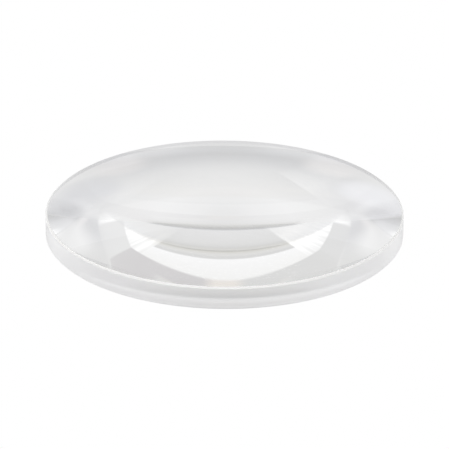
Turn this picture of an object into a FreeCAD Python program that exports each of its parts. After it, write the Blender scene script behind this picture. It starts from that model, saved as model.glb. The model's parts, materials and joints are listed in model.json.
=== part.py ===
import FreeCAD, Part
import math
import os

# Biconvex lens
#
# The lens is one piece of polished optical glass. Both faces are bulged and spherical. Between
# them runs a narrow cylindrical rim, which is fine ground, and which a holder grips. The two
# corners where the faces would meet the rim are ground off at 45 degrees, so that they don't chip.
#
# A lens is what two large balls, one for each face, and a cylinder, the rim, have in common.
# A cone at each end takes its corner off. The optical axis is Z, and the origin is the middle of
# the rim's height on that axis. With equal face radii it is the middle of the whole lens.
# Lengths are in millimetres, and the bevel's angle, against the axis, is in degrees.

NODE = "lens"

# Each size can be changed by itself. The edge thickness is taken where the faces would meet the
# rim if there were no bevels. The centre thickness follows from it and the two face radii, as it
# does when a lens is laid out to keep a rim that is thick enough to hold.
SIZES = {
    "rim_diameter": 50.8,
    "edge_thickness": 3.25,
    "upper_face_radius": 101.7,
    "lower_face_radius": 101.7,
    "bevel_leg": 0.25,
    "bevel_angle": 45.0,
}

# How near the solid's volume must come to the one worked out from the sizes, in cubic millimetres
VOLUME_TOLERANCE = 0.1

# Which way each face looks along the optical axis
FACES = {"upper": 1, "lower": -1}

# The rim's radius, and the radius at which the bevels meet the faces, as formulas on the sheet
RIM_RADIUS = "(sizes.rim_diameter / 2)"
CORNER_RADIUS = "(sizes.rim_diameter / 2 - sizes.bevel_leg)"
BEVEL_SLOPE = "tan(sizes.bevel_angle * 1 deg)"


def make_sheet(doc):
    """The driving dimensions, one row each: the name in words, then the number with its alias."""
    sheet = doc.addObject("Spreadsheet::Sheet", "sizes")
    for row, (alias, value) in enumerate(SIZES.items(), start=1):
        sheet.set(f"A{row}", alias.replace("_", " "))
        sheet.set(f"B{row}", str(value))
        sheet.setAlias(f"B{row}", alias)
    doc.recompute()
    return sheet


def centre_depth(face):
    """Formula for how far a ball's centre lies beyond the middle plane, away from its face."""
    return f"(sqrt(sizes.{face}_face_radius ^ 2 - {RIM_RADIUS} ^ 2) - sizes.edge_thickness / 2)"


def tip_height(face):
    """Formula for how far the tip of a bevel's cone stands out from the middle plane."""
    corner_height = f"sqrt(sizes.{face}_face_radius ^ 2 - {CORNER_RADIUS} ^ 2)"
    return f"({corner_height} - {centre_depth(face)} + {CORNER_RADIUS} / {BEVEL_SLOPE})"


def make_ball(doc, face, side):
    """The ball whose surface is one polished face.

    It lies on its side, so that its poles are level with its centre. A pole in the middle of a
    face would bunch up the triangles there when the face is meshed.
    """
    ball = doc.addObject("Part::Sphere", f"{face}_face_ball")
    ball.setExpression("Radius", f"sizes.{face}_face_radius")
    ball.Placement = FreeCAD.Placement(
        FreeCAD.Vector(0, 0, 0), FreeCAD.Rotation(FreeCAD.Vector(0, 1, 0), 90)
    )
    ball.setExpression("Placement.Base.z", f"{-side} * {centre_depth(face)}")
    return ball


def make_rim(doc):
    """The cylinder that the rim is part of. It stands out past the middle of both faces."""
    rim = doc.addObject("Part::Cylinder", "rim_cylinder")
    rim.setExpression("Radius", "sizes.rim_diameter / 2")
    rim.setExpression("Height", f"{tip_height('upper')} + {tip_height('lower')}")
    rim.setExpression("Placement.Base.z", f"-{tip_height('lower')}")
    return rim


def make_bevel(doc, face, side):
    """The cone whose wall takes one corner off. Its tip points the way its face looks."""
    cone = doc.addObject("Part::Cone", f"{face}_bevel_cone")
    wide, tip = ("Radius1", "Radius2") if side > 0 else ("Radius2", "Radius1")
    setattr(cone, tip, 0)
    cone.setExpression("Height", f"2 * {tip_height(face)}")
    cone.setExpression(wide, f"2 * {tip_height(face)} * {BEVEL_SLOPE}")
    cone.setExpression("Placement.Base.z", f"-{tip_height(face)}")
    return cone


def make_lens(doc):
    """What the balls, the rim's cylinder and the bevels' cones have in common."""
    tools = [make_rim(doc)]
    tools += [make_ball(doc, face, side) for face, side in FACES.items()]
    tools += [make_bevel(doc, face, side) for face, side in FACES.items()]
    doc.recompute()
    glass = tools[0]
    for tool in tools[1:]:
        shared = doc.addObject("Part::Common", f"glass_within_{tool.Name}")
        shared.Base = glass
        shared.Tool = tool
        glass = shared
    glass.Label = NODE
    glass.Placement = FreeCAD.Placement()
    doc.recompute()
    return glass


class Section:
    """Heights of the lens above its middle plane, worked out apart from the solid to test it."""

    def __init__(self, sheet):
        self.rim_radius = sheet.rim_diameter / 2
        self.half_edge = sheet.edge_thickness / 2
        self.face_radii = {"upper": sheet.upper_face_radius, "lower": sheet.lower_face_radius}
        self.corner_radius = self.rim_radius - sheet.bevel_leg
        self.bevel_drop = sheet.bevel_leg / math.tan(math.radians(sheet.bevel_angle))

    def sag(self, face, radius):
        """How far a face has fallen back from its middle, at a radius from the axis."""
        face_radius = self.face_radii[face]
        return face_radius - math.sqrt(face_radius**2 - radius**2)

    def apex(self, face):
        """Height of a face's middle."""
        return self.half_edge + self.sag(face, self.rim_radius)

    def rim_height(self, face):
        """Height at which a bevel ends on the rim."""
        return self.apex(face) - self.sag(face, self.corner_radius) - self.bevel_drop

    def volume(self):
        """Glass as a stack, on each side of the middle plane: a disc, a cone's slice and a cap."""
        total = 0
        for face, face_radius in self.face_radii.items():
            total += math.pi * self.rim_radius**2 * self.rim_height(face)
            squares = self.rim_radius**2 + self.rim_radius * self.corner_radius
            squares += self.corner_radius**2
            total += math.pi * self.bevel_drop * squares / 3
            cap = self.sag(face, self.corner_radius)
            total += math.pi * cap**2 * (face_radius - cap / 3)
        return total


def check_document(doc):
    """Stop if any object of the document did not compute."""
    for item in doc.Objects:
        if "Invalid" in item.State or "Error" in item.State:
            raise RuntimeError(f"{item.Name} did not compute: {item.State}")


def check_lens(lens, section):
    """Stop unless the lens is one closed solid that holds the glass that its sizes call for."""
    shape = lens.Shape
    if shape.isNull() or not shape.isValid() or len(shape.Solids) != 1:
        raise RuntimeError("the lens is not one valid solid")
    if abs(shape.Volume - section.volume()) > VOLUME_TOLERANCE:
        raise RuntimeError(f"the lens holds {shape.Volume} mm3, not {section.volume()} mm3")


def report_lens(lens, section):
    """Print what someone who orders the lens would ask for."""
    centre_thickness = section.apex("upper") + section.apex("lower")
    rim_height = section.rim_height("upper") + section.rim_height("lower")
    print(f"diameter {2 * section.rim_radius:.3f} mm, centre thickness {centre_thickness:.3f} mm")
    print(f"rim between the bevels {rim_height:.3f} mm, glass {lens.Shape.Volume:.1f} mm3")
    for surface in lens.Shape.Faces:
        print(f"  {surface.Surface.TypeId}, area {surface.Area:.2f} mm2")


def main():
    doc = FreeCAD.newDocument("biconvex_lens")
    section = Section(make_sheet(doc))
    lens = make_lens(doc)
    check_document(doc)
    check_lens(lens, section)
    report_lens(lens, section)
    os.makedirs("parts", exist_ok=True)
    lens.Shape.exportStep(f"parts/{NODE}.step")


main()
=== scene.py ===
# %% [markdown]
# # A biconvex lens in a light tent
#
# The object is one piece of clear optical glass: two equal polished faces, a fine-ground rim and
# two narrow bevels. Glass shows almost nothing of its own. What the eye reads as the lens is the
# room, bent and folded by it, so this lesson spends as much care on the room as on the glass.
#
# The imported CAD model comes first. It gives the place and the size that everything else keeps to.

# %% Load the frame
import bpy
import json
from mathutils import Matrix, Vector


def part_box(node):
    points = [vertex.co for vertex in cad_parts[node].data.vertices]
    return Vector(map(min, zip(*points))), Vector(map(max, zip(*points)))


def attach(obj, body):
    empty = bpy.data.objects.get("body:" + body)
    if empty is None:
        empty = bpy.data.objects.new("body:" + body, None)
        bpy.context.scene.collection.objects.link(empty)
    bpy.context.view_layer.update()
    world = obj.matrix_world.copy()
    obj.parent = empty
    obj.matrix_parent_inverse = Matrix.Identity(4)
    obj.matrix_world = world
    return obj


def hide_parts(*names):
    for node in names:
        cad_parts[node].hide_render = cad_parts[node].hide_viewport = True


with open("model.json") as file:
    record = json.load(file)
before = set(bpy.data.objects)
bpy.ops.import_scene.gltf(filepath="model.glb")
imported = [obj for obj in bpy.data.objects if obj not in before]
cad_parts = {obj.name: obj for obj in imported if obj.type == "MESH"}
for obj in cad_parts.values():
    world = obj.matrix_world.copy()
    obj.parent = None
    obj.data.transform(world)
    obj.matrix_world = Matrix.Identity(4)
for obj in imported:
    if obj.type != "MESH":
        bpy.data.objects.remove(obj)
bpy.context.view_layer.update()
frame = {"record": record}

# %% Blender's own modules
import json
import math

import bmesh
import bpy
from mathutils import Matrix, Vector

scene = bpy.context.scene

# %% [markdown]
# ## The sizes of the glass
#
# The rim's radius and its length between the bevels come from the record, where the CAD part
# wrote its mount. The faces' radius of curvature and the bevel's leg aren't in the record, so
# they are given here as the drawing has them.

# %% Sizes in metres
MILLIMETRE = 0.001
LENS_NODE = "lens"
FACE_RADIUS = 101.7 * MILLIMETRE
BEVEL_LEG = 0.25 * MILLIMETRE

rim_mount = next(mount for mount in frame["record"]["mounts"] if mount["name"] == "rim")
RIM_RADIUS = rim_mount["dims"]["r_mm"] * MILLIMETRE
RIM_LENGTH = rim_mount["dims"]["length_mm"] * MILLIMETRE
low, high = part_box(LENS_NODE)
print("rim radius and length in mm", RIM_RADIUS / MILLIMETRE, RIM_LENGTH / MILLIMETRE)
print("node box", low, high)

# %% Sizes that follow
rim_top = RIM_LENGTH / 2
face_edge_radius = RIM_RADIUS - BEVEL_LEG
face_edge_height = rim_top + BEVEL_LEG
face_angle = math.asin(face_edge_radius / FACE_RADIUS)
ball_centre = face_edge_height - FACE_RADIUS * math.cos(face_angle)
apex_height = ball_centre + FACE_RADIUS
print("half thickness in mm", apex_height / MILLIMETRE)

# %% [markdown]
# ## The camera
#
# The photograph looks down on the lens at a shallow angle, from far away, so the near and the far
# side of the rim are almost the same size. A long focal length at three quarters of a metre does
# that. The camera aims a little below the middle of the glass and is turned by a third of a degree.

# %% Place the camera
CAMERA_DISTANCE = 0.762
CAMERA_ELEVATION = math.radians(24.473)
CAMERA_FOCAL_LENGTH = 430.3
CAMERA_ROLL = math.radians(0.351)
CAMERA_AIM_BELOW = 0.312 * MILLIMETRE

camera_data = bpy.data.cameras.new("camera")
camera_data.sensor_width = 36.0
camera_data.lens = CAMERA_FOCAL_LENGTH
camera_data.clip_start = 0.01
camera_data.clip_end = 50.0
camera = bpy.data.objects.new("camera", camera_data)
scene.collection.objects.link(camera)

backwards = Vector((0, -math.cos(CAMERA_ELEVATION), math.sin(CAMERA_ELEVATION)))
upwards = Vector((0, math.sin(CAMERA_ELEVATION), math.cos(CAMERA_ELEVATION)))
turn = backwards.to_track_quat("Z", "Y").to_matrix().to_4x4()
station = Matrix.Translation(backwards * CAMERA_DISTANCE - upwards * CAMERA_AIM_BELOW)
camera.matrix_world = station @ turn @ Matrix.Rotation(CAMERA_ROLL, 4, "Z")
scene.camera = camera
print("camera at", tuple(round(value, 4) for value in camera.location))

# %% [markdown]
# ## Shader maths as Python
#
# Each pattern below is a short sum. One small class wraps a node's output socket, so that the sum
# can be written as a sum.

# %% One class for wires between nodes


class Wire:
    """An output socket of a node tree that can be added, multiplied and compared."""

    def __init__(self, tree, socket=None):
        self.tree = tree
        self.socket = socket

    def node(self, kind, settings=(), sockets=(), output=0):
        """Adds a node: its settings first, then the value or the wire of each socket."""
        node = self.tree.nodes.new(kind)
        for name, value in dict(settings).items():
            if name == "stops":
                self.set_stops(node.color_ramp.elements, value)
            else:
                setattr(node, name, value)
        for name, value in dict(sockets).items():
            if isinstance(value, Wire):
                self.tree.links.new(value.socket, node.inputs[name])
            else:
                node.inputs[name].default_value = value
        return Wire(self.tree, node.outputs[output] if node.outputs else None)

    @staticmethod
    def set_stops(elements, stops):
        """Gives a colour ramp its stops, each a position from 0 to 1 and a colour."""
        while len(elements) < len(stops):
            elements.new(1.0)
        for element, (position, colour) in zip(elements, stops):
            element.position = position
            element.color = colour

    def maths(self, operation, *values):
        return self.node("ShaderNodeMath", {"operation": operation}, dict(enumerate(values)))

    def __add__(self, other):
        return self.maths("ADD", self, other)

    def __radd__(self, other):
        return self.maths("ADD", other, self)

    def __sub__(self, other):
        return self.maths("SUBTRACT", self, other)

    def __rsub__(self, other):
        return self.maths("SUBTRACT", other, self)

    def __mul__(self, other):
        return self.maths("MULTIPLY", self, other)

    def __rmul__(self, other):
        return self.maths("MULTIPLY", other, self)

    def __truediv__(self, other):
        return self.maths("DIVIDE", self, other)

    def __rtruediv__(self, other):
        return self.maths("DIVIDE", other, self)

    def __abs__(self):
        return self.maths("ABSOLUTE", self)

    def most(self, other):
        return self.maths("MAXIMUM", self, other)

    def above(self, level, soft):
        """1 where this is above the level and 0 below it, with a soft step between."""
        return self.node(
            "ShaderNodeMapRange",
            {"interpolation_type": "SMOOTHSTEP"},
            {"Value": self, "From Min": level - soft, "From Max": level + soft},
        )

    def below(self, level, soft):
        return 1 - self.above(level, soft)

    def mixed(self, first, second):
        """first where this is 0 and second where it is 1, as colours."""
        return self.node(
            "ShaderNodeMix",
            {"data_type": "RGBA", "clamp_factor": True},
            {"Factor": self, "A": first, "B": second},
            2,
        )

    def times(self, colour, share=1.0):
        """This colour multiplied by another one, where the share is 1."""
        return self.node(
            "ShaderNodeMix",
            {"data_type": "RGBA", "blend_type": "MULTIPLY"},
            {"Factor": share, "A": self, "B": colour},
            2,
        )

    def ramp(self, *stops):
        """The colour at each place between stops, which are pairs of a value and a colour."""
        first = stops[0][0]
        span = stops[-1][0] - first
        scaled = [((place - first) / span, colour) for place, colour in stops]
        return self.node("ShaderNodeValToRGB", {"stops": scaled}, {"Fac": (self - first) / span})


print("wire operations ready")

# %% [markdown]
# ## The light tent
#
# Small glass is photographed inside a tent of white cloth: a box with lit walls. The glass folds
# the box's edges into the arcs and the facets that are seen on it, so the box has straight edges
# in the right places. It could be built of planes round the lens, but those would stand in the
# way of a camera that looks from behind. The world's shader has no such trouble: it takes each
# direction, finds where it meets the box, and gives that place its brightness.
#
# Two kinds of measure say where a direction meets the cloth. On the wall behind, it is how far
# across and how far upward, if that wall stood one unit away. At the sides, it is the azimuth,
# in degrees from straight back, and the elevation, in degrees above the card. In a world, the
# Generated output of Texture Coordinate is the direction that all of them are worked out from.

# %% Where a direction points
DEGREES = 180 / math.pi
LEAST_DEPTH = 0.02
MIDDLE_BLUR = 0.05

world = bpy.data.worlds.new("light_tent")
world.use_nodes = True
world.node_tree.nodes.clear()
scene.world = world
sky = Wire(world.node_tree)
direction = sky.node("ShaderNodeTexCoord", {}, {}, "Generated")
to_right, to_back, to_top = (
    sky.node("ShaderNodeSeparateXYZ", {}, {"Vector": direction}, axis) for axis in range(3)
)
azimuth = sky.maths("ARCTAN2", to_right, to_back) * DEGREES
elevation = sky.maths("ARCSINE", to_top) * DEGREES
wall_depth = abs(to_back).most(LEAST_DEPTH)
across = to_right / wall_depth
upward = to_top / wall_depth
turned = abs(azimuth)
on_right = across.above(0.0, MIDDLE_BLUR)
print("directions ready")

# %% [markdown]
# ### The wall behind
#
# The tent's far wall has a low opening in its middle, where the cloth leaves a gap above the
# table. The gap is dark low down and narrows to a small patch of warm light at its top. A seam
# runs across the cloth. Above it a bright panel fills the middle, with a darker ledge on top.
# Colour ramps hold how the cloth's brightness changes with height, because light falls off along
# cloth gradually, and narrow soft steps make the seams, because they are sharp.

# %% Shades of the cloth
RIGHT_BACK_ROSE = (0.675, 0.662, 0.672, 1)
OPENING_PEACH = (0.865, 0.825, 0.79, 1)


def grey(value, warm=0.0):
    """A neutral shade. A warm one has less blue and a little more red, a cold one the reverse."""
    return (value * (1 + warm / 4), value, value * (1 - warm), 1)


LEFT_BACK_CLOTH = grey(0.735)
LEFT_SIDE_CLOTH = grey(0.75)
RIGHT_SIDE_CLOTH = grey(0.82)
print("cloth at the sides", LEFT_SIDE_CLOTH, RIGHT_SIDE_CLOTH)

# %% The opening and the wall round it
OPENING_HALF_WIDTH = 0.36
OPENING_NARROWING = 0.28
OPENING_NARROWS_AT = 0.40
NARROWING_BLUR = 0.03
OPENING_BLUR = 0.045

middle_wall = upward.ramp(
    (0.00, grey(0.50, -0.03)),
    (0.05, grey(0.46, -0.06)),
    (0.10, grey(0.36, 0.00)),
    (0.16, grey(0.46, 0.03)),
    (0.26, grey(0.69, 0.02)),
    (0.36, grey(0.76)),
    (0.46, OPENING_PEACH),
)
narrowed = upward.above(OPENING_NARROWS_AT, NARROWING_BLUR)
past_opening = abs(across) - (OPENING_HALF_WIDTH - OPENING_NARROWING * narrowed)
outer_wall = on_right.mixed(LEFT_BACK_CLOTH, RIGHT_BACK_ROSE)
back_wall = past_opening.above(0.0, OPENING_BLUR).mixed(middle_wall, outer_wall)
print("opening half width", OPENING_HALF_WIDTH, "to", OPENING_HALF_WIDTH - OPENING_NARROWING)

# %% Side walls, panel and ledge
CORNER = 0.755
SEAM_HEIGHT = 0.49
SEAM_TILT = 0.027
SEAM_RISE_ON_RIGHT = 0.68
SEAM_RISE_ON_LEFT = 0.49
SEAM_BLUR = 0.012
PANEL_TOP = 0.748
PANEL_TOP_BLUR = 0.008

past_right_corner = (across - CORNER).most(0)
past_left_corner = (0 - across - CORNER).most(0)
seam = SEAM_HEIGHT + SEAM_TILT * across
seam = seam + SEAM_RISE_ON_RIGHT * past_right_corner + SEAM_RISE_ON_LEFT * past_left_corner
side_wall = on_right.mixed(LEFT_SIDE_CLOTH, RIGHT_SIDE_CLOTH)
low_wall = abs(across).above(CORNER, SEAM_BLUR).mixed(back_wall, side_wall)
panel = upward.ramp((0.50, grey(0.952, 0.003)), (0.72, grey(0.985, -0.007)))
ledge = upward.ramp(
    (PANEL_TOP, grey(0.74)),
    (0.78, grey(0.70)),
    (0.83, grey(0.76, 0.01)),
    (0.87, grey(0.72, 0.03)),
    (0.91, grey(0.62, 0.07)),
    (0.98, grey(0.47, 0.13)),
    (1.06, grey(0.43, 0.16)),
    (1.30, grey(0.11, 0.60)),
    (1.60, grey(0.04, 0.60)),
)
middle_above = upward.above(PANEL_TOP, PANEL_TOP_BLUR).mixed(panel, ledge)
print("corner at", CORNER, "seam at", SEAM_HEIGHT, "panel up to", PANEL_TOP)

# %% [markdown]
# ### The lit side walls
#
# Lamps stand outside the tent on both sides. Above the seam their cloth is the brightest thing
# round the lens, and gives the white corners of the bowl. The cloth hangs in fine upright folds.

# %% Lit side walls
PANEL_HALF_WIDTH = 0.605
PANEL_SIDE_BLUR = 0.015
FOLD_SCALE = 0.45
FOLD_CONTRAST = 0.08
FOLD_BLUR = 0.25

left_lamp = elevation.ramp(
    (20, grey(0.94)),
    (32, grey(1.10)),
    (38, grey(1.15, 0.02)),
    (44, grey(1.75, 0.05)),
    (54, grey(1.50, 0.05)),
    (64, grey(0.60)),
)
right_lamp = elevation.ramp(
    (20, grey(0.98)),
    (32, grey(1.06)),
    (38, grey(0.95, 0.03)),
    (44, grey(0.80, 0.12)),
    (52, grey(0.30, 0.20)),
    (60, grey(0.08)),
)
folds = sky.node(
    "ShaderNodeTexNoise",
    {"noise_dimensions": "1D"},
    {"W": azimuth, "Scale": FOLD_SCALE, "Detail": 2.0},
)
fold_shade = folds.above(0.5, FOLD_BLUR).mixed(grey(1 - FOLD_CONTRAST), grey(1 + FOLD_CONTRAST))
lamps = on_right.mixed(left_lamp, right_lamp).times(fold_shade)
over_seam = (upward - seam).above(0.0, SEAM_BLUR)
high_wall = abs(across).above(PANEL_HALF_WIDTH, PANEL_SIDE_BLUR).mixed(middle_above, lamps)
walls = over_seam.mixed(low_wall, high_wall)
print("lit walls begin at", PANEL_HALF_WIDTH)

# %% [markdown]
# ### The flanks
#
# The ends of the lens show what hangs to its left and right. From the back to the front that is
# bright cloth, then a darker side cloth with one bright strip half way up, and then a dark post
# with dull cloth before it and plain cloth after it. Each piece is a ramp over the elevation, and
# a band of azimuth says where it hangs. Both sides are hung alike.

# %% What hangs at the sides
bright_cloth = elevation.ramp(
    (2, grey(1.00)),
    (14, grey(1.04)),
    (24, grey(1.25)),
    (50, grey(1.30)),
)
side_cloth = elevation.ramp(
    (0, grey(0.45)),
    (6, grey(0.40)),
    (14, grey(0.70)),
    (22, grey(0.80)),
    (25.5, grey(0.82)),
    (26.5, grey(1.30)),
    (36, grey(1.30)),
    (37.5, grey(0.75)),
    (45, grey(1.00)),
    (55, grey(1.80)),
)
post_cloth = elevation.ramp(
    (4, grey(0.48, -0.03)),
    (15, grey(0.48)),
    (22, grey(0.69, -0.02)),
    (34, grey(0.98, -0.01)),
    (43, grey(1.35)),
    (52, grey(0.85)),
)
post = elevation.ramp(
    (6, grey(0.30, -0.05)),
    (15, grey(0.16)),
    (22, grey(0.60, -0.02)),
    (27, grey(0.60, -0.02)),
    (35, grey(0.22)),
    (46, grey(0.45)),
)
plain_cloth = elevation.ramp(
    (0, grey(1.15)),
    (20, grey(1.20)),
    (45, grey(1.15)),
    (60, grey(1.05)),
)
print("side cloths and post ready")

# %% Where it hangs, in degrees of azimuth
FLANK_BEGINS = 60
SIDE_CLOTH_BEGINS = 69
POST_CLOTH_BEGINS = 97
POST_BEGINS = 104
POST_ENDS = 110
FLANK_ENDS = 120
CLOTH_BLUR = 3
POST_BLUR = 2
POST_END_BLUR = 2.5
FLANK_BLUR = 1.5

flank = turned.above(SIDE_CLOTH_BEGINS, CLOTH_BLUR).mixed(bright_cloth, side_cloth)
flank = turned.above(POST_CLOTH_BEGINS, CLOTH_BLUR).mixed(flank, post_cloth)
flank = turned.above(POST_BEGINS, POST_BLUR).mixed(flank, post)
flank = turned.above(POST_ENDS, POST_END_BLUR).mixed(flank, plain_cloth)
print("flanks from", FLANK_BEGINS, "to", FLANK_ENDS, "degrees")

# %% [markdown]
# ### The whole tent
#
# The wall in front is the wall behind once more, a quarter brighter, because the lamps are nearer
# to it. Overhead, a bank of lamps shines through the roof on the camera's side. The photograph is
# cut out on pure white, so the camera itself sees white where it looks past the lens. Light Path
# tells those rays from the ones that come by way of the glass.

# %% The whole tent
LAMP_BANK = 3.5
ROOF = 0.25
ROOF_BEGINS = 60
ROOF_BLUR = 3
LAMP_BANK_EDGE = -0.15
LAMP_BANK_BLUR = 0.1
FRONT_LIGHT = 1.25
PURE_WHITE = grey(1.0)

in_front = turned.above(FLANK_ENDS, FLANK_BLUR)
walls = walls.times(grey(FRONT_LIGHT), in_front)
at_sides = turned.above(FLANK_BEGINS, FLANK_BLUR) * (1 - in_front)
room = at_sides.mixed(walls, flank)
roof = to_back.above(LAMP_BANK_EDGE, LAMP_BANK_BLUR).mixed(grey(LAMP_BANK), grey(ROOF))
room = elevation.above(ROOF_BEGINS, ROOF_BLUR).mixed(room, roof)
seen_by_camera = sky.node("ShaderNodeLightPath", {}, {}, "Is Camera Ray")
room = seen_by_camera.mixed(room, PURE_WHITE)
background = sky.node("ShaderNodeBackground", {}, {"Color": room, "Strength": 1.0})
sky.node("ShaderNodeOutputWorld", {}, {"Surface": background})
print("world nodes", len(world.node_tree.nodes))

# %% [markdown]
# ## The floor
#
# The lens lies on white card and touches it in one point. Below the horizon the card is all that
# the glass sees, so it reaches far out on every side.

# %% Lay the floor
FLOOR_SIZE = 4.0

shape = bmesh.new()
bmesh.ops.create_grid(shape, x_segments=1, y_segments=1, size=FLOOR_SIZE / 2)
bmesh.ops.translate(shape, vec=(0, 0, -apex_height), verts=shape.verts)
floor_mesh = bpy.data.meshes.new("floor")
shape.to_mesh(floor_mesh)
shape.free()
floor = bpy.data.objects.new("floor", floor_mesh)
scene.collection.objects.link(floor)
print("floor at", -apex_height)

# %% [markdown]
# ### Light on the card
#
# The photograph's ground is pure white without a shadow, and the camera sees the card so. The
# glass shows the card as it is lit, and that is less even. The lens gathers light into a pale ring
# under itself and leaves the middle dimmer, and a darker ring marks its rim. A lit card needs
# many samples before it is smooth under glass, so this one gives its own light, from a ramp over
# the distance to the middle, counted in rim radii.
#
# Two lamps brighten the card at the sides, and the camera's side is dim. A few soft patches behind
# and beside the lens are painted light and shade, faintly rose and blue, for things in the studio
# that can't be made out. Each patch fades out from its middle, so none of them draws an edge in the
# glass.

# %% Light on the card by distance
card = bpy.data.materials.new("white_card")
card.use_nodes = True
card.node_tree.nodes.clear()
sheet = Wire(card.node_tree)
place_on_card = sheet.node("ShaderNodeTexCoord", {}, {}, "Object")
distance = sheet.node("ShaderNodeVectorMath", {"operation": "LENGTH"}, {0: place_on_card}, "Value")
from_middle = distance / RIM_RADIUS
lit_card = from_middle.ramp(
    (0.00, grey(0.59)),
    (0.12, grey(0.695)),
    (0.25, grey(0.83, -0.004)),
    (0.40, grey(0.88, -0.004)),
    (0.55, grey(0.85)),
    (0.70, grey(0.80, -0.01)),
    (0.80, grey(0.75, -0.02)),
    (0.90, grey(0.73, -0.02)),
    (0.97, grey(0.80, -0.01)),
    (1.06, grey(0.86)),
    (1.20, grey(0.81)),
    (2.00, grey(0.75)),
    (6.00, grey(0.74, -0.01)),
)
card_right, card_back = (
    sheet.node("ShaderNodeSeparateXYZ", {}, {"Vector": place_on_card}, axis) / RIM_RADIUS
    for axis in range(2)
)
print("light on the card by distance, in rim radii of", RIM_RADIUS)

# %% Light on the card by side
SIDE_SLANT = 0.45
SIDE_BEGINS = 0.3
SIDE_BLUR = 0.5
FAR_BEGINS = 1.6
FAR_BLUR = 0.4
SIDE_SHADE = grey(0.81)
PATCH_STRENGTH = 0.8

beside = (abs(card_right) - SIDE_SLANT * card_back).above(SIDE_BEGINS, SIDE_BLUR)
beside = beside * from_middle.above(FAR_BEGINS, FAR_BLUR)
lit_card = beside.mixed(lit_card, SIDE_SHADE)


def add_patch(lit_card, middle_right, middle_back, radius, tint):
    """The card with one round patch of light or shade, which fades out from its middle."""
    off_right = card_right - middle_right
    off_back = card_back - middle_back
    half_square = radius ** 2 / 2
    fade = (off_right * off_right + off_back * off_back).below(half_square, half_square)
    return (fade * PATCH_STRENGTH).mixed(lit_card, tint)


print("sides of the card begin at", FAR_BEGINS, "rim radii")

# %% Lamps and shades on the card
LAMP_GLOW = grey(2.1)
CAMERA_SHADE = grey(0.15)
REAR_SHADE = grey(0.735)
# Rose and blue patches of painted light and shade on the card
PALE_ROSE = (0.89, 0.875, 0.88, 1)
DULL_ROSE = (0.86, 0.845, 0.85, 1)
PALE_BLUE = (0.92, 0.925, 0.955, 1)
DULL_BLUE = (0.69, 0.695, 0.72, 1)

for right, back, radius, tint in (
    (1.75, -0.10, 0.70, LAMP_GLOW),
    (-1.75, -0.10, 0.70, LAMP_GLOW),
    (0.00, -1.75, 0.80, CAMERA_SHADE),
    (0.56, 0.77, 0.19, PALE_ROSE),
    (-0.56, 0.77, 0.19, DULL_ROSE),
    (0.74, 0.47, 0.19, PALE_BLUE),
    (-0.70, 0.47, 0.20, DULL_BLUE),
    (0.00, 1.05, 0.30, REAR_SHADE),
):
    lit_card = add_patch(lit_card, right, back, radius, tint)
seen_by_camera = sheet.node("ShaderNodeLightPath", {}, {}, "Is Camera Ray")
card_colour = seen_by_camera.mixed(lit_card, PURE_WHITE)
card_surface = sheet.node("ShaderNodeEmission", {}, {"Color": card_colour, "Strength": 1.0})
sheet.node("ShaderNodeOutputMaterial", {}, {"Surface": card_surface})
floor.data.materials.append(card)
print("card nodes", len(card.node_tree.nodes))

# %% [markdown]
# ## The glass
#
# A real lens is ground as a disc whose two faces are parts of large balls. It could be cut from
# balls and a cylinder with Booleans, as the CAD part is. Here it is turned instead, because a
# turned mesh has even rows of faces, and its normals bend light without ripples.
#
# The section starts from one point, the top of the glass. Spinning that point about the centre of
# the face's ball draws the face's arc. Extruding its end adds the bevel and half of the rim. The
# mirror gives the lower half, and a full spin about the axis gives the lens.

# %% Draw the section of the lens
ARC_STEPS = 72
MERGE = 0.001 * MILLIMETRE

shape = bmesh.new()
tip = shape.verts.new((0, 0, apex_height))
bmesh.ops.spin(
    shape,
    geom=[tip],
    cent=(0, 0, ball_centre),
    axis=(0, 1, 0),
    angle=face_angle,
    steps=ARC_STEPS,
    use_duplicate=False,
)
shape.verts.ensure_lookup_table()
end = max(shape.verts, key=lambda vert: abs(vert.co.x))
print("arc ends at", end.co.x / MILLIMETRE, end.co.z / MILLIMETRE)
for step in (
    (math.copysign(BEVEL_LEG, end.co.x), 0, -BEVEL_LEG),
    (0, 0, -rim_top / 2),
    (0, 0, -rim_top / 2),
):
    end = bmesh.ops.extrude_vert_indiv(shape, verts=[end])["verts"][0]
    bmesh.ops.translate(shape, vec=step, verts=[end])
bmesh.ops.mirror(
    shape,
    geom=shape.verts[:] + shape.edges[:],
    axis="Z",
    merge_dist=MERGE,
)
print("points of the section", len(shape.verts))

# %% Turn the section
TURN_STEPS = 360

bmesh.ops.spin(
    shape,
    geom=shape.verts[:] + shape.edges[:],
    cent=(0, 0, 0),
    axis=(0, 0, 1),
    angle=math.tau,
    steps=TURN_STEPS,
    use_merge=True,
    use_duplicate=False,
)
bmesh.ops.remove_doubles(shape, verts=shape.verts, dist=MERGE)
bmesh.ops.recalc_face_normals(shape, faces=shape.faces)
open_edges = sum(1 for edge in shape.edges if len(edge.link_faces) != 2)
volume = shape.calc_volume()
triangles = sum(len(face.verts) - 2 for face in shape.faces)
print("open edges", open_edges, "triangles", triangles, "volume mm3", volume / MILLIMETRE ** 3)

# %% [markdown]
# ### One material for each surface
#
# A face's normal tells what it belongs to. It lies level on the rim, slopes at 45 degrees on a
# bevel and stands nearly upright on the polished faces. Shading is smooth within each surface,
# and the edges between them stay sharp, as the grinder left them.

# %% Sort the faces
POLISHED = 0
GROUND = 1
BEVEL = 2
RIM_NORMAL_BELOW = 0.1
BEVEL_NORMAL_BELOW = 0.9

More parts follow.
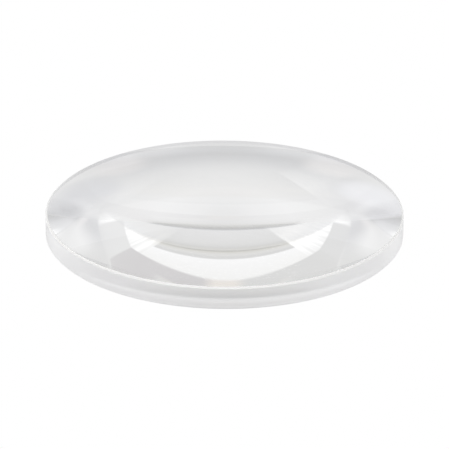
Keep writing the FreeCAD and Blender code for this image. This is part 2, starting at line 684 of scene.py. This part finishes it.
for face in shape.faces:
    face.smooth = True
    normal_rise = abs(face.normal.z)
    face.material_index = POLISHED
    if normal_rise < RIM_NORMAL_BELOW:
        face.material_index = GROUND
    elif normal_rise < BEVEL_NORMAL_BELOW:
        face.material_index = BEVEL
for edge in shape.edges:
    kinds = {face.material_index for face in edge.link_faces}
    edge.smooth = len(kinds) == 1
for kind, name in ((POLISHED, "polished"), (GROUND, "rim"), (BEVEL, "bevel")):
    print(name, "faces", sum(1 for face in shape.faces if face.material_index == kind))

glass_mesh = bpy.data.meshes.new("lens_glass")
shape.to_mesh(glass_mesh)
shape.free()
glass = bpy.data.objects.new("lens_glass", glass_mesh)
scene.collection.objects.link(glass)

# %% [markdown]
# ## The finishes
#
# The lens has three: polished faces, a ground rim and ground bevels. All are procedural and read
# object coordinates in millimetres, so that the scale of a pattern can be checked with a ruler.

# %% A new glass finish
GLASS_INDEX = 1.4585


def start_finish(name):
    """A new material on the lens, and a wire at its object coordinates in millimetres."""
    material = bpy.data.materials.new(name)
    material.use_nodes = True
    material.node_tree.nodes.clear()
    glass.data.materials.append(material)
    metres = Wire(material.node_tree).node("ShaderNodeTexCoord", {}, {}, "Object")
    in_metre = 1 / MILLIMETRE
    return metres.node("ShaderNodeVectorMath", {"operation": "SCALE"}, {0: metres, "Scale": in_metre})


def noise(place, squeeze, scale, detail=2.0):
    """A random pattern. Its grains are long along each axis that has a small squeeze."""
    squeezed = place.node("ShaderNodeVectorMath", {"operation": "MULTIPLY"}, {0: place, 1: squeeze})
    return place.node(
        "ShaderNodeTexNoise", {}, {"Vector": squeezed, "Scale": scale, "Detail": detail}
    )


print("index of the glass", GLASS_INDEX)

# %% [markdown]
# ### Polished faces
#
# Polished optical glass has no colour or texture that shows, but no cleaned face is perfect: a
# few faint wipe marks run over it. They only make the gloss a little rougher, and only where
# broader smears lie, so that most of the face stays clear.

# %% Polished faces
WIPE_SCALE = 0.5
WIPE_LEVEL = 0.62
WIPE_BLUR = 0.10
SMEAR_SCALE = 0.12
SMEAR_LEVEL = 0.52
SMEAR_BLUR = 0.08
WIPE_ROUGHNESS = 0.03

place = start_finish("polished_glass")
wipes = noise(place, (0.15, 0.9, 0.2), WIPE_SCALE, 3.0).above(WIPE_LEVEL, WIPE_BLUR)
smears = noise(place, (1, 1, 1), SMEAR_SCALE).above(SMEAR_LEVEL, SMEAR_BLUR)
polished = place.node(
    "ShaderNodeBsdfPrincipled",
    {},
    {
        "Base Color": (1, 1, 1, 1),
        "Transmission Weight": 1.0,
        "IOR": GLASS_INDEX,
        "Roughness": wipes * smears * WIPE_ROUGHNESS,
    },
)
place.node("ShaderNodeOutputMaterial", {}, {"Surface": polished})
print("polished glass, wipe marks up to roughness", WIPE_ROUGHNESS)

# %% [markdown]
# ### Grain of the ground surfaces
#
# The rim and the bevels are ground with fine grit. That leaves a frosted skin with grain in it,
# faint rings where the wheel ran round, and broad patches where it cut a little more or less.

# %% Grain, rings and patches
GRAIN_SCALE = 6.0
RING_SCALE = 9.0
PATCH_SCALE = 0.35


def ground_patterns(place):
    """The grain, the wheel's rings and the broad patches, each between 0 and 1."""
    grain = noise(place, (1, 1, 1), GRAIN_SCALE, 3.0)
    rings = noise(place, (0.05, 0.05, 1.0), RING_SCALE, 2.0)
    patches = noise(place, (1, 1, 0.6), PATCH_SCALE)
    return grain, rings, patches


print("grains of about", round(1 / GRAIN_SCALE, 2), "mm")

# %% [markdown]
# ### The ground skin from outside
#
# Frosted glass lets part of the light through, blurred, and throws part of it back as a white
# glow. A Principled shader with half of its weight in transmission does both. The patterns only
# tint it by a per cent or two, because fresh fine-ground glass is very even.

# %% Ground glass from outside
DARKER_GRAIN = 0.86
GRAIN_SHADE = 0.10
RING_SHADE = 0.08
PATCH_SHADE = 0.06
GRAIN_HEIGHT = 0.04 * MILLIMETRE
GRAIN_SHARE = 0.7
RING_SHARE = 0.3


def ground_from_outside(place, patterns, skin, roughness, clear_share, grain_depth):
    """Frosted glass: the skin's colour, its roughness, its clear share and its grain's depth."""
    grain, rings, patches = patterns
    shade = (grain - 0.5) * GRAIN_SHADE + (rings - 0.5) * RING_SHADE
    shade = shade + (patches - 0.5) * PATCH_SHADE + 0.5
    darker_skin = [part * DARKER_GRAIN for part in skin]
    bump = place.node(
        "ShaderNodeBump",
        {},
        {
            "Strength": grain_depth,
            "Distance": GRAIN_HEIGHT,
            "Height": grain * GRAIN_SHARE + rings * RING_SHARE,
        },
    )
    return place.node(
        "ShaderNodeBsdfPrincipled",
        {},
        {
            "Base Color": shade.mixed(darker_skin + [1], list(skin) + [1]),
            "Transmission Weight": clear_share,
            "IOR": GLASS_INDEX,
            "Roughness": roughness,
            "Normal": bump,
        },
    )


print("grain stands out by", GRAIN_HEIGHT / MILLIMETRE, "mm at full strength")

# %% [markdown]
# ### The ground skin from within
#
# The skin is seen a second time through the clear face, as a thin grey line along the far edge.
# Light that meets it from within nearly head-on goes through, blurred. Light that meets it at a
# slant would be thrown back by smooth glass, but on the ground skin it soaks out through the
# grains as a milky glow. Fresnel tells head-on from slanting. The narrow bevel is milky at every
# angle, because it is too thin for its blurred view to be made out.

# %% Ground glass from within
MILKY_WHITE = (0.90, 0.90, 0.91, 1)


def ground_from_within(place, roughness, shows_view):
    """A milky skin, through which a blurred view shows where it is met head-on."""
    milky = place.node("ShaderNodeBsdfTranslucent", {}, {"Color": MILKY_WHITE})
    if not shows_view:
        return milky
    blurred = place.node(
        "ShaderNodeBsdfPrincipled",
        {},
        {
            "Base Color": (1, 1, 1, 1),
            "Transmission Weight": 1.0,
            "IOR": GLASS_INDEX,
            "Roughness": roughness,
        },
    )
    slanting = place.node("ShaderNodeFresnel", {}, {"IOR": GLASS_INDEX})
    return place.node("ShaderNodeMixShader", {}, {0: slanting, 1: blurred, 2: milky})


print("milky white", MILKY_WHITE)

# %% Ground rim and bevels
ROUGHNESS_SPREAD = 0.12


def finish_ground(name, skin, frost, clear_share, grain_depth, shows_view):
    """A ground finish with one look from outside and another from within the glass."""
    place = start_finish(name)
    patterns = ground_patterns(place)
    grain = patterns[0]
    roughness = frost + (grain - 0.5) * ROUGHNESS_SPREAD
    outside = ground_from_outside(place, patterns, skin, roughness, clear_share, grain_depth)
    inside = ground_from_within(place, roughness, shows_view)
    within = place.node("ShaderNodeNewGeometry", {}, {}, "Backfacing")
    surface = place.node("ShaderNodeMixShader", {}, {0: within, 1: outside, 2: inside})
    place.node("ShaderNodeOutputMaterial", {}, {"Surface": surface})


finish_ground(
    "ground_rim",
    skin=(0.98, 0.98, 0.99),
    frost=0.35,
    clear_share=0.52,
    grain_depth=0.2,
    shows_view=True,
)
finish_ground(
    "ground_bevel",
    skin=(0.92, 0.92, 0.92),
    frost=0.40,
    clear_share=0.0,
    grain_depth=0.05,
    shows_view=False,
)
print("finishes", [slot.name for slot in glass.material_slots])

# %% [markdown]
# ## Into the frame
#
# The lens rides on the model's one body and stands for the CAD node. It needed its own mesh,
# because the CAD mesh is loose triangles, and glass shows every one of them.

# %% Place the lens on the frame
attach(glass, "root")
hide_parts(LENS_NODE)
print("piece", glass.name, "stands for", LENS_NODE)

# %% [markdown]
# ## Colour and bounces
#
# The Standard view keeps white at white, as a product photograph does. Light is thrown back and
# forth in the lens many times before it leaves, so more bounces are allowed than the defaults.

# %% Colour and bounces
GLASS_BOUNCES = 24
GLOSS_BOUNCES = 12

scene.view_settings.view_transform = "Standard"
scene.view_settings.look = "None"
scene.cycles.max_bounces = GLASS_BOUNCES
scene.cycles.transmission_bounces = GLASS_BOUNCES
scene.cycles.glossy_bounces = GLOSS_BOUNCES
print("bounces", scene.cycles.max_bounces, scene.cycles.transmission_bounces)
